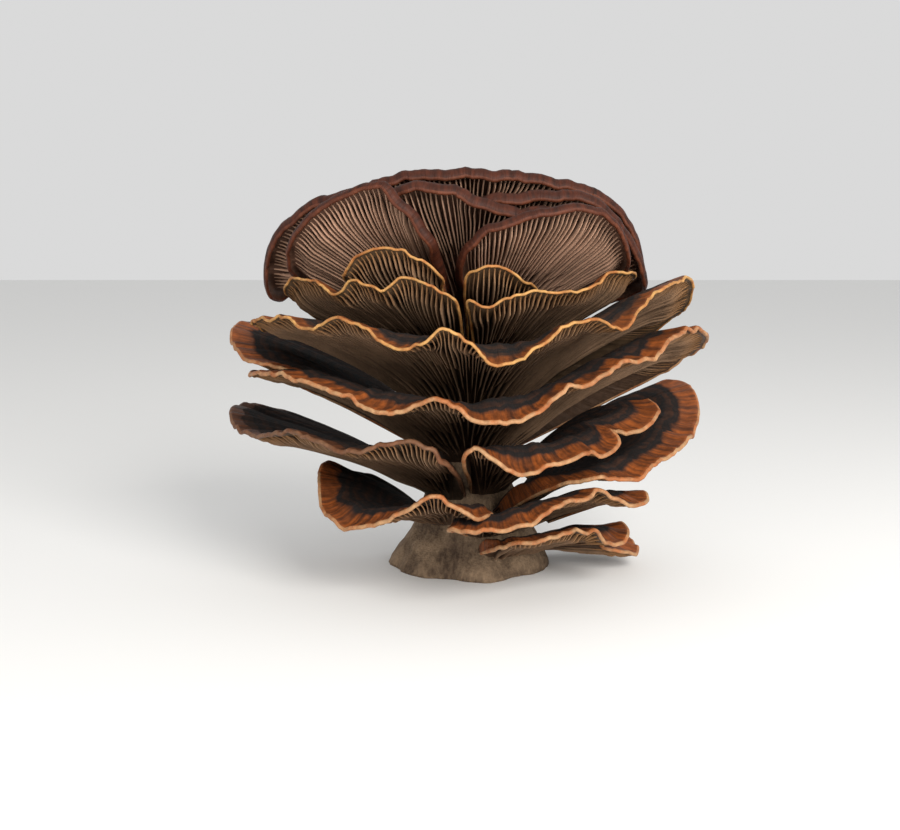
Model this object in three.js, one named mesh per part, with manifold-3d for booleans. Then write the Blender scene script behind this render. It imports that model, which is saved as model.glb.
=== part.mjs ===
// A turkey tail cluster: frilled bracket caps, one above the other, growing out of one shared holdfast.
// Each cap is a leathery shelf with gills below. It starts as a narrow root on the holdfast, climbs and
// widens outwards, and ends in a wavy margin that runs from one end of the root round to the other.
// The cluster stands on the flat cut foot of its holdfast, and its flat back is where it sat on the wood.
// Units are millimetres and degrees. +Z is up, -Y is the front, and the origin is the centre of the foot.
// Azimuths are measured round the Z axis from the front, positive towards +X.
import * as THREE from "three";
import { mergeVertices } from "three/addons/utils/BufferGeometryUtils.js";
import Module from "manifold-3d";

const wasm = await Module();
wasm.setup();

// Thickness of a cap, with its gills: at the root, over its body, and at the margin.
const ROOT_THICKNESS = 6;
const BODY_THICKNESS = 4.6;
const MARGIN_THICKNESS = 2.2;
// Shares of the way out at which the cap is down to its body, and at which it starts to thin to the margin.
const BODY_SHARE = 0.5;
const MARGIN_TAPER_SHARE = 0.6;
// A cap thins again, and curls less, where it is shorter than this, at each end of its margin.
const FULL_LENGTH = 26;
const THINNEST_SHARE = 0.5;
// The margin's waves reach inwards over this share of the cap. Its body follows their running average.
const FRILL_START = 0.5;
const FRILL_AVERAGE_LENGTH = 70;
const FRILL_FULL_LENGTH = 60;
// Radius of the margin's downward curl.
const CURL_RADIUS = 3.4;
// Spacing of the faces along the margin, and their number from the root to the margin and round the curl.
const MARGIN_STEP = 13;
const BODY_STEPS = 3;
const CURL_STEP_DEGREES = 60;
// A cap fans out from an arc inside the holdfast, at this share of its radius, and is left out up to this
// far from the holdfast's surface.
const ROOT_DEPTH_SHARE = 0.6;
const ROOT_GAP = 0.35;
const ROOT_SEARCH_STEPS = 20;
// Edges shorter than this are closed up where cells have been joined.
const SMALLEST_DETAIL = 0.05;

// Holdfast: radius at each height, the plane of its flat back, and its sides.
const HOLDFAST_PROFILE = [
  [48, 0],
  [46, 5],
  [36, 20],
  [25, 42],
  [19, 70],
  [16, 105],
  [13, 132],
  [8, 144],
];
const HOLDFAST_TOP = 147;
const HOLDFAST_SIDES = 36;
const BACK_PLANE = 12;
// A block of wood that reaches past the holdfast on every side. Its face cuts the flat back.
const WOOD_BLOCK = new THREE.Vector3(200, 100, 400);

const CAP_BROWN = 0x7a4526;
const CAP_RUST = 0x8f4a20;
const HOLDFAST_TAN = 0x8a6b4c;

// The caps, from the top of the cluster down. root is its height, and the azimuths of its two ends.
// swell is the share by which the cap bows upwards. curl is how far its margin turns down. flesh is its
// thickness, as a share of the thickness above: small caps are thin.
// margin is the outer edge, as azimuth, radius and height, from one end of the root to the other.
const CAPS = [
  {
    name: "crown_back",
    color: CAP_BROWN,
    root: [143, -110, 104],
    swell: 0.5,
    curl: 95,
    flesh: 1,
    margin: [
      [-112, 24, 142], [-104, 58, 148], [-95, 88, 146], [-88, 100, 143], [-81, 101, 157],
      [-73, 97, 172], [-63, 84, 186], [-50, 66, 194], [-33, 51, 200], [-10, 44, 201],
      [12, 44, 201], [30, 49, 199], [45, 57, 197], [57, 69, 192], [67, 78, 182],
      [75, 83, 169], [82, 85, 156], [90, 80, 147], [98, 56, 144], [106, 24, 142],
    ],
  },
  {
    name: "crown_right",
    color: CAP_BROWN,
    root: [132, -4, 94],
    swell: 0.45,
    curl: 95,
    flesh: 0.8,
    margin: [
      [-2, 20, 145], [0, 34, 168], [3, 46, 184], [10, 53, 189], [24, 58, 190],
      [37, 65, 191], [48, 74, 189], [57, 80, 180], [64, 85, 168], [70, 88, 156],
      [76, 87, 149], [83, 74, 144], [90, 50, 139], [95, 22, 134],
    ],
  },
  {
    name: "crown_middle",
    color: CAP_BROWN,
    root: [120, -50, 44],
    swell: 0.4,
    curl: 80,
    flesh: 0.8,
    margin: [
      [-54, 20, 130], [-50, 38, 152], [-44, 58, 176], [-37, 68, 188], [-28, 67, 193],
      [-17, 63, 194], [-5, 60, 192], [6, 61, 187], [19, 64, 183], [30, 67, 184],
      [36, 62, 178], [41, 46, 158], [45, 22, 128],
    ],
  },
  {
    name: "ear_left",
    color: CAP_BROWN,
    root: [112, -84, -12],
    swell: 0.25,
    curl: 90,
    flesh: 1,
    margin: [
      [-88, 22, 115], [-84, 50, 132], [-77, 77, 146], [-70, 90, 156], [-62, 95, 167],
      [-53, 94, 178], [-44, 90, 187], [-35, 87, 192], [-27, 86, 193], [-19, 83, 182],
      [-13, 77, 170], [-12, 68, 161], [-11, 48, 144], [-11, 24, 122],
    ],
  },
  {
    name: "ear_right",
    color: CAP_BROWN,
    root: [111, -7, 78],
    swell: 0.35,
    curl: 90,
    flesh: 1,
    margin: [
      [-6, 24, 118], [-7, 44, 140], [-7, 60, 154], [-4, 68, 163], [2, 74, 172],
      [10, 78, 177], [21, 83, 182], [32, 87, 184], [41, 89, 181], [49, 89, 173],
      [57, 86, 162], [64, 77, 152], [71, 54, 137], [78, 24, 115],
    ],
  },
  {
    name: "lobe_left",
    color: CAP_BROWN,
    root: [102, -48, -16],
    swell: 0.45,
    curl: 30,
    flesh: 0.5,
    margin: [
      [-52, 24, 111], [-48, 54, 134], [-44, 82, 150], [-39, 91, 154], [-34, 93, 161],
      [-28, 92, 165], [-22, 90, 165], [-16, 88, 160], [-10, 84, 154], [-10, 70, 145],
      [-13, 48, 128], [-16, 24, 108],
    ],
  },
  {
    name: "lobe_right",
    color: CAP_BROWN,
    root: [102, -4, 30],
    swell: 0.5,
    curl: 30,
    flesh: 0.5,
    margin: [
      [-4, 24, 108], [-3, 52, 130], [-3, 74, 146], [-1, 83, 154], [4, 87, 157],
      [9, 86, 156], [14, 84, 153], [19, 81, 149], [24, 70, 144], [28, 48, 130],
      [31, 24, 110],
    ],
  },
  {
    name: "tier_1_left",
    color: CAP_RUST,
    root: [92, -86, -2],
    swell: 0.35,
    curl: 25,
    flesh: 1,
    margin: [
      [-88, 24, 95], [-84, 58, 116], [-77, 84, 134], [-68, 96, 143], [-59, 98, 150],
      [-48, 98, 150], [-39, 98, 145], [-33, 98, 151], [-24, 98, 147], [-18, 98, 152],
      [-11, 98, 150], [-6, 98, 146], [-4, 92, 140], [-3, 64, 122], [-2, 24, 95],
    ],
  },
  {
    name: "tier_1_right",
    color: CAP_RUST,
    root: [93, 2, 72],
    swell: 0.35,
    curl: 25,
    flesh: 0.8,
    margin: [
      [2, 24, 97], [0, 60, 120], [-1, 88, 139], [0, 97, 143], [4, 98, 141],
      [9, 98, 145], [18, 98, 147], [27, 98, 146], [33, 98, 149], [37, 98, 153],
      [45, 98, 154], [51, 96, 153], [57, 88, 149], [63, 70, 138], [69, 44, 119],
      [74, 22, 99],
    ],
  },
  {
    name: "tier_2",
    color: CAP_RUST,
    root: [73, -94, 104],
    swell: 0.55,
    curl: 30,
    flesh: 1,
    margin: [
      [-102, 26, 82], [-96, 60, 107], [-86, 92, 120], [-76, 108, 127], [-68, 112, 130],
      [-60, 112, 132], [-48, 112, 134], [-40, 112, 130], [-31, 112, 137], [-24, 112, 131],
      [-17, 112, 124], [-12, 112, 125], [-7, 112, 133], [-1, 112, 126], [5, 112, 117],
      [10, 112, 120], [17, 112, 129], [25, 112, 135], [31, 112, 134], [36, 112, 131],
      [42, 112, 140], [52, 112, 148], [62, 112, 151], [70, 112, 148], [79, 109, 138],
      [88, 98, 125], [97, 68, 105], [105, 26, 78],
    ],
  },
  {
    name: "side_lobe_left",
    color: CAP_RUST,
    root: [64, -106, -62],
    swell: 0.55,
    curl: 30,
    flesh: 0.8,
    margin: [
      [-112, 26, 70], [-110, 60, 94], [-104, 98, 115], [-97, 116, 125], [-89, 120, 123],
      [-81, 119, 117], [-73, 114, 112], [-66, 104, 109], [-61, 84, 101], [-58, 56, 87],
      [-57, 26, 68],
    ],
  },
  {
    name: "tier_3",
    color: CAP_RUST,
    root: [55, -100, 106],
    swell: 0.55,
    curl: 35,
    flesh: 1,
    margin: [
      [-106, 28, 59], [-100, 62, 80], [-91, 94, 96], [-80, 108, 102], [-70, 113, 104],
      [-59, 114, 108], [-43, 114, 108], [-35, 114, 105], [-28, 114, 103], [-22, 114, 97],
      [-16, 114, 97], [-9, 114, 103], [-3, 114, 99], [3, 114, 93], [10, 114, 93],
      [16, 114, 100], [21, 114, 108], [26, 114, 108], [31, 114, 114], [40, 114, 117],
      [46, 114, 118], [51, 114, 124], [58, 114, 127], [66, 115, 127], [74, 118, 124],
      [82, 118, 118], [90, 113, 110], [97, 98, 98], [103, 66, 80], [109, 28, 59],
    ],
  },
  {
    name: "tier_4_left",
    color: CAP_RUST,
    root: [36, -104, -6],
    swell: 0.55,
    curl: 35,
    flesh: 1,
    margin: [
      [-108, 32, 42], [-105, 64, 62], [-99, 98, 77], [-92, 117, 83], [-84, 121, 82],
      [-74, 119, 78], [-62, 114, 77], [-52, 112, 81], [-43, 112, 83], [-34, 112, 78],
      [-28, 112, 78], [-21, 112, 82], [-12, 112, 83], [-7, 110, 76], [-5, 90, 67],
      [-4, 60, 55], [-4, 32, 41],
    ],
  },
  {
    name: "tier_4_right",
    color: CAP_RUST,
    root: [38, -1, 76],
    swell: 0.6,
    curl: 35,
    flesh: 0.8,
    margin: [
      [0, 32, 43], [-2, 62, 57], [-3, 92, 70], [-2, 105, 77], [1, 107, 80],
      [5, 107, 75], [11, 107, 70], [19, 107, 72], [27, 107, 76], [34, 107, 75],
      [38, 105, 79], [40, 97, 83], [45, 103, 82], [51, 106, 85], [57, 104, 90],
      [62, 92, 91], [68, 66, 77], [75, 32, 46],
    ],
  },
  {
    name: "tier_5_right",
    color: CAP_RUST,
    root: [26, 26, 106],
    swell: 0.5,
    curl: 35,
    flesh: 1,
    margin: [
      [24, 40, 33], [25, 64, 48], [29, 88, 59], [35, 101, 63], [41, 107, 62],
      [46, 109, 63], [50, 109, 67], [57, 110, 68], [63, 112, 71], [70, 113, 73],
      [77, 114, 76], [84, 116, 81], [91, 116, 88], [98, 112, 94], [103, 96, 88],
      [107, 66, 62], [109, 40, 35],
    ],
  },
  {
    name: "tier_5_front",
    color: CAP_RUST,
    root: [18, -5, 62],
    swell: 0.45,
    curl: 35,
    flesh: 0.8,
    margin: [
      [-3, 46, 25], [-6, 72, 35], [-6, 96, 42], [-2, 105, 44], [4, 108, 45],
      [12, 108, 46], [17, 108, 50], [22, 107, 55], [28, 105, 55], [33, 103, 57],
      [38, 104, 54], [43, 106, 49], [48, 107, 48], [52, 103, 51], [56, 88, 47],
      [60, 66, 37], [63, 46, 26],
    ],
  },
  {
    name: "tier_6_left",
    color: CAP_RUST,
    root: [24, -94, 4],
    swell: 0.5,
    curl: 35,
    flesh: 0.8,
    margin: [
      [-94, 40, 31], [-88, 54, 43], [-78, 68, 53], [-67, 78, 58], [-57, 86, 55],
      [-50, 92, 48], [-43, 98, 43], [-34, 102, 40], [-26, 102, 43], [-18, 102, 50],
      [-9, 102, 58], [-4, 102, 54], [1, 101, 49], [5, 88, 47], [5, 64, 42],
      [2, 40, 31],
    ],
  },
  {
    name: "tier_6_right",
    color: CAP_RUST,
    root: [8, 8, 66],
    swell: 0.3,
    curl: 30,
    flesh: 1,
    margin: [
      [5, 52, 18], [7, 72, 26], [11, 85, 31], [17, 91, 33], [24, 92, 35],
      [31, 92, 37], [39, 92, 34], [45, 92, 28], [50, 93, 25], [55, 92, 28],
      [60, 85, 31], [65, 70, 25], [70, 52, 16],
    ],
  },
  {
    name: "foot_lobe",
    color: CAP_RUST,
    root: [9, 84, 100],
    swell: 0.2,
    curl: 20,
    flesh: 0.7,
    margin: [
      [78, 52, 12], [72, 66, 13], [70, 78, 13], [75, 86, 10], [82, 88, 9],
      [90, 86, 11], [98, 78, 14], [104, 66, 14], [107, 52, 12],
    ],
  },
];

const radians = THREE.MathUtils.degToRad;
const lerp = THREE.MathUtils.lerp;

function around(azimuth, radius, height) {
  const angle = radians(azimuth);
  return new THREE.Vector3(radius * Math.sin(angle), -radius * Math.cos(angle), height);
}

// The holdfast's radius at a height.
function holdfastRadius(height) {
  const above = HOLDFAST_PROFILE.findIndex(([, h]) => h > height);
  if (above < 1) return HOLDFAST_PROFILE.at(above < 0 ? -1 : 0)[0];
  const [r0, h0] = HOLDFAST_PROFILE[above - 1];
  const [r1, h1] = HOLDFAST_PROFILE[above];
  return lerp(r0, r1, (height - h0) / (h1 - h0));
}

function holdfastGeometry() {
  const outline = [[0, 0], ...HOLDFAST_PROFILE, [0, HOLDFAST_TOP]];
  const points = outline.map(([r, h]) => new THREE.Vector2(r, h));
  return new THREE.LatheGeometry(points, HOLDFAST_SIDES).rotateX(Math.PI / 2);
}

function toSolid(geometry) {
  const bare = new THREE.BufferGeometry();
  bare.setAttribute("position", geometry.getAttribute("position"));
  bare.setIndex(geometry.index);
  const merged = mergeVertices(bare, 1e-3);
  return new wasm.Manifold(
    new wasm.Mesh({
      numProp: 3,
      vertProperties: merged.attributes.position.array,
      triVerts: new Uint32Array(merged.index.array),
    }),
  );
}

function toGeometry(solid) {
  const mesh = solid.getMesh();
  const geometry = new THREE.BufferGeometry();
  geometry.setAttribute("position", new THREE.BufferAttribute(mesh.vertProperties, 3));
  geometry.setIndex(new THREE.BufferAttribute(mesh.triVerts, 1));
  geometry.computeVertexNormals();
  return geometry;
}

// The margin's height averaged along it, so that the waves are left out.
function bodyHeights(margin, root) {
  const reach = Math.round(FRILL_AVERAGE_LENGTH / MARGIN_STEP / 2);
  return margin.map((point, i) => {
    const near = margin.slice(Math.max(0, i - reach), i + reach + 1);
    const average = near.reduce((sum, p) => sum + p.z, 0) / near.length;
    const length = point.distanceTo(root[i]);
    return lerp(point.z, average, Math.min(1, length / FRILL_FULL_LENGTH));
  });
}

// The share of the way out at which a row of a cap is clear of the holdfast, underside included.
function shareAtHoldfast(pointAt) {
  let inside = 0;
  let outside = 1;
  for (let step = 0; step < ROOT_SEARCH_STEPS; step++) {
    const middle = (inside + outside) / 2;
    const point = pointAt(middle);
    const clear = holdfastRadius(point.z - ROOT_THICKNESS) + ROOT_GAP;
    if (Math.hypot(point.x, point.y) < clear) inside = middle;
    else outside = middle;
  }
  return outside;
}

// Rows of points on a cap's upper side: one row for each step along the margin, from root to edge.
function capRows(cap) {
  const curve = new THREE.CatmullRomCurve3(cap.margin.map((p) => around(...p)));
  const steps = Math.round(curve.getLength() / MARGIN_STEP);
  const margin = curve.getSpacedPoints(steps);
  const [rootHeight, from, to] = cap.root;
  const rootRadius = holdfastRadius(rootHeight) * ROOT_DEPTH_SHARE;
  const root = margin.map((_, i) => around(lerp(from, to, i / steps), rootRadius, rootHeight));
  const body = bodyHeights(margin, root);
  return margin.map((edge, i) => {
    const pointAt = (share) => {
      const climb = share + cap.swell * share * (1 - share);
      const frill = THREE.MathUtils.smoothstep(share, FRILL_START, 1);
      const point = root[i].clone().lerp(edge, share);
      point.z = lerp(rootHeight, body[i], climb) + (edge.z - body[i]) * frill;
      return point;
    };
    const first = shareAtHoldfast(pointAt);
    return Array.from({ length: BODY_STEPS + 1 }, (_, j) => pointAt(lerp(first, 1, j / BODY_STEPS)));
  });
}

// The margin's own direction, and any other column's, at one row.
function alongColumn(rows, i, j) {
  return rows[Math.min(i + 1, rows.length - 1)][j].clone().sub(rows[Math.max(i - 1, 0)][j]);
}

// The direction square to the cap on its gill side, evened out over the rows next to this one.
function gillSide(rows, i, j) {
  const side = new THREE.Vector3();
  for (let k = Math.max(i - 1, 0); k <= Math.min(i + 1, rows.length - 1); k++) {
    const row = rows[k];
    const outwards = row[Math.min(j + 1, row.length - 1)].clone().sub(row[Math.max(j - 1, 0)]);
    side.add(alongColumn(rows, k, j).cross(outwards));
  }
  return side.normalize();
}

function fullness(row) {
  const length = row[0].distanceTo(row[BODY_STEPS]);
  return Math.min(1, Math.max(THINNEST_SHARE, length / FULL_LENGTH));
}

// Adds the rows of the curl, which leaves the margin square to it and turns towards the gill side.
function addCurl(rows, degrees) {
  const steps = Math.ceil(degrees / CURL_STEP_DEGREES);
  const curls = rows.map((row, i) => {
    const down = gillSide(rows, i, BODY_STEPS);
    const outwards = down.clone().cross(alongColumn(rows, i, BODY_STEPS)).normalize();
    const radius = CURL_RADIUS * fullness(row);
    return Array.from({ length: steps }, (_, k) => {
      const angle = radians((degrees * (k + 1)) / steps);
      return row[BODY_STEPS]
        .clone()
        .addScaledVector(outwards, radius * Math.sin(angle))
        .addScaledVector(down, radius * (1 - Math.cos(angle)));
    });
  });
  return rows.map((row, i) => [...row, ...curls[i]]);
}

function thickness(share) {
  const body = lerp(ROOT_THICKNESS, BODY_THICKNESS, Math.min(1, share / BODY_SHARE));
  const taper = THREE.MathUtils.smoothstep(share, MARGIN_TAPER_SHARE, 1);
  return lerp(body, MARGIN_THICKNESS, taper);
}

// A cap is a sheet of cells, each with four corners on its upper side and four on its gill side. Rows that
// come close together at the ends of the root run into each other, so the cells are joined as solids.
function capGeometry(cap) {
  const upper = addCurl(capRows(cap), cap.curl);
  const gills = upper.map((row, i) => {
    const flesh = cap.flesh * fullness(row);
    return row.map((point, j) => {
      const here = flesh * thickness(Math.min(1, j / BODY_STEPS));
      return point.clone().addScaledVector(gillSide(upper, i, j), here);
    });
  });
  const cells = [];
  for (let i = 0; i < upper.length - 1; i++) {
    for (let j = 0; j < upper[i].length - 1; j++) {
      const sheets = [upper[i], upper[i + 1], gills[i], gills[i + 1]];
      const corners = sheets.flatMap((row) => row.slice(j, j + 2)).map((corner) => corner.toArray());
      cells.push(wasm.Manifold.hull(corners));
    }
  }
  return toGeometry(wasm.Manifold.union(cells).asOriginal().simplify(SMALLEST_DETAIL));
}

function makeMesh(name, geometry, color) {
  const material = new THREE.MeshStandardMaterial({ color, roughness: 0.85, metalness: 0 });
  const mesh = new THREE.Mesh(geometry, material);
  mesh.name = name;
  return mesh;
}

function makeHoldfast() {
  const block = new THREE.BoxGeometry(...WOOD_BLOCK).translate(0, BACK_PLANE + WOOD_BLOCK.y / 2, 0);
  const solid = toSolid(holdfastGeometry()).subtract(toSolid(block));
  return makeMesh("holdfast", toGeometry(solid), HOLDFAST_TAN);
}

const cluster = new THREE.Group();
cluster.add(makeHoldfast(), ...CAPS.map((cap) => makeMesh(cap.name, capGeometry(cap), cap.color)));

export default cluster;
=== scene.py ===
import bmesh
import bpy
import numpy as np
from math import cos, pi, radians, sin
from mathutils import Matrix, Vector, noise


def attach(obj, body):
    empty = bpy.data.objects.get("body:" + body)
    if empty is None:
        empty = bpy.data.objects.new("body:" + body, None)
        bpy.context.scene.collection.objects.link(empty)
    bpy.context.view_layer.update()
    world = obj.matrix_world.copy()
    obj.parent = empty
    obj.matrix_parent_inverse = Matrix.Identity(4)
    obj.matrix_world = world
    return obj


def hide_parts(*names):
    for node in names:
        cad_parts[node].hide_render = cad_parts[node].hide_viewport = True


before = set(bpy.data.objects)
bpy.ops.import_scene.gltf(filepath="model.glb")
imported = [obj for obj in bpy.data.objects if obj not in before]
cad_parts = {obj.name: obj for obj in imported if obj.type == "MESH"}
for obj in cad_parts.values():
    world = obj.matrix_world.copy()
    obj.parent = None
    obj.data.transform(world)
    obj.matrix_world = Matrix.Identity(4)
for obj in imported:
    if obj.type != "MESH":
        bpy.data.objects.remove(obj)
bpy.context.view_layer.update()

# ---------------------------------------------------------------------------------------------------
# Holdfast: the woody stem that every cap grows from, wide at its cut foot and flat at the back, where
# it sat on the log. Pale brown, corky and lumpy. It is turned, roughened, and cut off at the back.
# ---------------------------------------------------------------------------------------------------
HOLDFAST_PROFILE = [
    (0.048, 0.000), (0.046, 0.005), (0.036, 0.020), (0.025, 0.042), (0.019, 0.070),
    (0.016, 0.105), (0.013, 0.132), (0.008, 0.144), (0.000, 0.147),
]
BACK_PLANE = 0.012
HEIGHT_STEPS = 90
TURN_STEPS = 150
# The flat foot: radii of its first and last ring, and how many rings there are.
FOOT_RINGS = (0.008, 0.045, 8)
# Roughness: the depth of each size of relief, and how closely it repeats. Lumps are drawn out upwards.
LUMP_DEPTH, LUMP_SCALE = 0.009, Vector((42, 42, 16))
KNOB_DEPTH, KNOB_SCALE = 0.0030, 110
PIT_DEPTH, PIT_SCALE = 0.0009, 300
# Near the axis the lumps and knobs get shallow, and none goes deeper than this share of the radius.
LEAST_RELIEF = 0.15
DEEPEST_SHARE = 0.6
AXIS_RADIUS = 0.001
SPECULAR = 0.2


def holdfast_radius(height):
    radii, heights = np.array(HOLDFAST_PROFILE).T
    return float(np.interp(height, heights, radii))


def new_object(name, bm, materials, smooth=True):
    """A finished piece from its bmesh, faces outwards, at the origin."""
    bmesh.ops.recalc_face_normals(bm, faces=bm.faces)
    mesh = bpy.data.meshes.new(name)
    bm.to_mesh(mesh)
    bm.free()
    mesh.polygons.foreach_set("use_smooth", [smooth] * len(mesh.polygons))
    for material in materials:
        mesh.materials.append(material)
    piece = bpy.data.objects.new(name, mesh)
    bpy.context.scene.collection.objects.link(piece)
    return piece


class Graph:
    """Short forms for building a node tree: an input takes a value, or the socket it is linked to."""

    def __init__(self, tree):
        self.tree = tree

    def add(self, kind, inputs, **settings):
        made = self.tree.nodes.new(kind)
        for name, value in settings.items():
            setattr(made, name, value)
        for key, value in inputs.items():
            if isinstance(value, bpy.types.NodeSocket):
                self.tree.links.new(value, made.inputs[key])
            else:
                made.inputs[key].default_value = value
        return made

    def math(self, operation, *values):
        return self.add("ShaderNodeMath", dict(enumerate(values)), operation=operation).outputs[0]

    def ramp(self, value, start, end, low=0.0, high=1.0):
        """low up to start, high from end on, and a soft step between them."""
        inputs = {"Value": value, "From Min": start, "From Max": end, "To Min": low, "To Max": high}
        return self.add("ShaderNodeMapRange", inputs, interpolation_type="SMOOTHSTEP").outputs[0]

    def mix(self, factor, a, b, blend="MIX"):
        made = self.add("ShaderNodeMix", {0: factor, 6: a, 7: b}, data_type="RGBA", blend_type=blend)
        return made.outputs[2]

    def noise(self, vector, scale, detail=4.0, roughness=0.55):
        inputs = {"Vector": vector, "Scale": scale, "Detail": detail, "Roughness": roughness}
        return self.add("ShaderNodeTexNoise", inputs).outputs["Fac"]

    def stretch(self, vector, scale):
        return self.add("ShaderNodeMapping", {"Vector": vector, "Scale": scale}).outputs[0]

    def shade(self, color, value):
        """The colour, darker or lighter by this value."""
        gray = self.add("ShaderNodeCombineColor", {0: value, 1: value, 2: value}).outputs[0]
        return self.mix(1.0, color, gray, "MULTIPLY")

    def put_out(self, result, color, roughness, height):
        """Links the three outputs that every surface group has."""
        for label, value in zip(("Base Color", "Roughness", "Height"), (color, roughness, height)):
            self.tree.links.new(value, result[label])


def new_group(name, inputs, outputs):
    """An empty shader node group with these named inputs (name, kind, default) and outputs (name, kind)."""
    group = bpy.data.node_groups.new(name, "ShaderNodeTree")
    for label, kind, default in inputs:
        socket = group.interface.new_socket(label, in_out="INPUT", socket_type=kind)
        socket.default_value = default
    for label, kind in outputs:
        group.interface.new_socket(label, in_out="OUTPUT", socket_type=kind)
    graph = Graph(group)
    start = graph.add("NodeGroupInput", {})
    end = graph.add("NodeGroupOutput", {})
    return graph, start.outputs, end.inputs


COLOR, VALUE = "NodeSocketColor", "NodeSocketFloat"
SURFACE_OUTPUTS = [("Base Color", COLOR), ("Roughness", VALUE), ("Height", VALUE)]


def new_material(name, group, bump_distance, **values):
    """A material whose colour, roughness and relief come from a node group with these values set."""
    material = bpy.data.materials.new(name)
    material.use_nodes = True
    graph = Graph(material.node_tree)
    shader = material.node_tree.nodes["Principled BSDF"]
    surface = graph.add("ShaderNodeGroup", {}, node_tree=group)
    for label, value in values.items():
        surface.inputs[label.replace("_", " ").capitalize()].default_value = value
    bump = graph.add("ShaderNodeBump", {"Height": surface.outputs["Height"], "Distance": bump_distance})
    link = material.node_tree.links.new
    link(surface.outputs["Base Color"], shader.inputs["Base Color"])
    link(surface.outputs["Roughness"], shader.inputs["Roughness"])
    link(bump.outputs["Normal"], shader.inputs["Normal"])
    shader.inputs["Specular IOR Level"].default_value = SPECULAR
    return material


def cork_group():
    """Corky tissue: pale brown with darker blotches, fine pores and upright fibres."""
    graph, given, result = new_group(
        "cork",
        [("Pale", COLOR, (0.5, 0.5, 0.5, 1)), ("Dark", COLOR, (0.1, 0.1, 0.1, 1))],
        SURFACE_OUTPUTS,
    )
    place = graph.add("ShaderNodeTexCoord", {}).outputs["Object"]
    blotch = graph.noise(place, 55.0, 6.0, 0.65)
    fibre = graph.noise(graph.stretch(place, (1.0, 1.0, 0.18)), 520.0, 3.0)
    pores = graph.add("ShaderNodeTexVoronoi", {"Vector": place, "Scale": 900.0}).outputs["Distance"]
    pale_blotch = graph.ramp(blotch, 0.38, 0.62, 0.0, 0.7)
    pale_fibre = graph.ramp(fibre, 0.35, 0.7, 0.0, 0.35)
    color = graph.mix(graph.math("ADD", pale_blotch, pale_fibre), given["Dark"], given["Pale"])
    roughness = graph.ramp(blotch, 0.3, 0.7, 0.95, 0.8)
    graph.put_out(result, color, roughness, graph.math("ADD", fibre, graph.math("MULTIPLY", pores, 0.6)))
    return graph.tree


def relief(place):
    """Relief between 0 and 1 at this place."""
    return 0.5 + 0.5 * noise.noise(place)


def build_holdfast():
    bm = bmesh.new()
    heights = np.linspace(0.0, HOLDFAST_PROFILE[-1][1], HEIGHT_STEPS)
    outline = [(0.0, 0.0)] + [(r, 0.0) for r in np.linspace(*FOOT_RINGS)]
    outline += [(holdfast_radius(h), h) for h in heights]
    points = [bm.verts.new((r, 0.0, h)) for r, h in outline]
    edges = [bm.edges.new(pair) for pair in zip(points, points[1:])]
    bmesh.ops.spin(
        bm, geom=points + edges, cent=(0, 0, 0), axis=(0, 0, 1), angle=2 * pi, steps=TURN_STEPS,
        use_merge=True,
    )
    bmesh.ops.remove_doubles(bm, verts=bm.verts, dist=1e-6)
    for vert in bm.verts:
        away = Vector((vert.co.x, vert.co.y, 0.0))
        if away.length > AXIS_RADIUS:
            lump, knob = relief(vert.co * LUMP_SCALE), relief(vert.co * KNOB_SCALE)
            pit = relief(vert.co * PIT_SCALE)
            share = min(1.0, away.length / HOLDFAST_PROFILE[0][0] + LEAST_RELIEF)
            depth = (LUMP_DEPTH * lump + KNOB_DEPTH * knob) * share + PIT_DEPTH * pit
            vert.co -= away.normalized() * min(depth, DEEPEST_SHARE * away.length)
    cut = bmesh.ops.bisect_plane(
        bm, geom=bm.verts[:] + bm.edges[:] + bm.faces[:], plane_co=(0, BACK_PLANE, 0), plane_no=(0, 1, 0),
        clear_outer=True,
    )
    rim = [item for item in cut["geom_cut"] if isinstance(item, bmesh.types.BMEdge)]
    bmesh.ops.triangle_fill(bm, edges=rim, use_beauty=True)
    cork = new_material(
        "cork", cork_group(), 0.0006, pale=(0.25, 0.17, 0.105, 1), dark=(0.06, 0.038, 0.025, 1),
    )
    piece = new_object("holdfast_stem", bm, [cork])
    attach(piece, "root")
    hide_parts("holdfast")


build_holdfast()

# ---------------------------------------------------------------------------------------------------
# Lowest caps: three small shelves next to the foot, thin and leathery, rust brown above with a paler
# margin. Each cap is a bent sheet that starts as a narrow root in the holdfast and widens to a wavy
# margin, with blade-like gills hanging below it. Azimuths are degrees from the front, towards +X.
# ---------------------------------------------------------------------------------------------------
MARGIN_SPACING = 0.0016
CURVE_STEPS = 24
BODY_STEPS = 26
CURL_STEPS = 7
LIP_STEPS = 5
EVEN_ROWS = 3
SEAM_GAP = 1e-7
LIP_INSET = 0.0014
PLAIN_CURL_RADIUS = 0.0034
ROOT_DEPTH_SHARE = 0.6
# The body of a cap follows its margin's height averaged over this length, where it is longer than
# LEVEL_CAP, and droops to the margin from this share of the way out.
WAVE_AVERAGE_LENGTH = 0.07
LEVEL_CAP = 0.06
DROOP_START = 0.8
# Thickness at the root, in the body and at the lip, and the shares of the way out between which it
# changes. At the two ends of a cap it falls to THINNEST_SHARE of that.
ROOT_FLESH, BODY_FLESH, PLAIN_LIP = 0.0030, 0.0014, 0.0018
ROOT_END, LIP_START = 0.4, 0.9
THINNEST_SHARE = 0.35
# Between these lengths a cap grows to its full thickness and curl, at each end of its margin.
SHORT_CAP = (0.006, 0.055)
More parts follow.
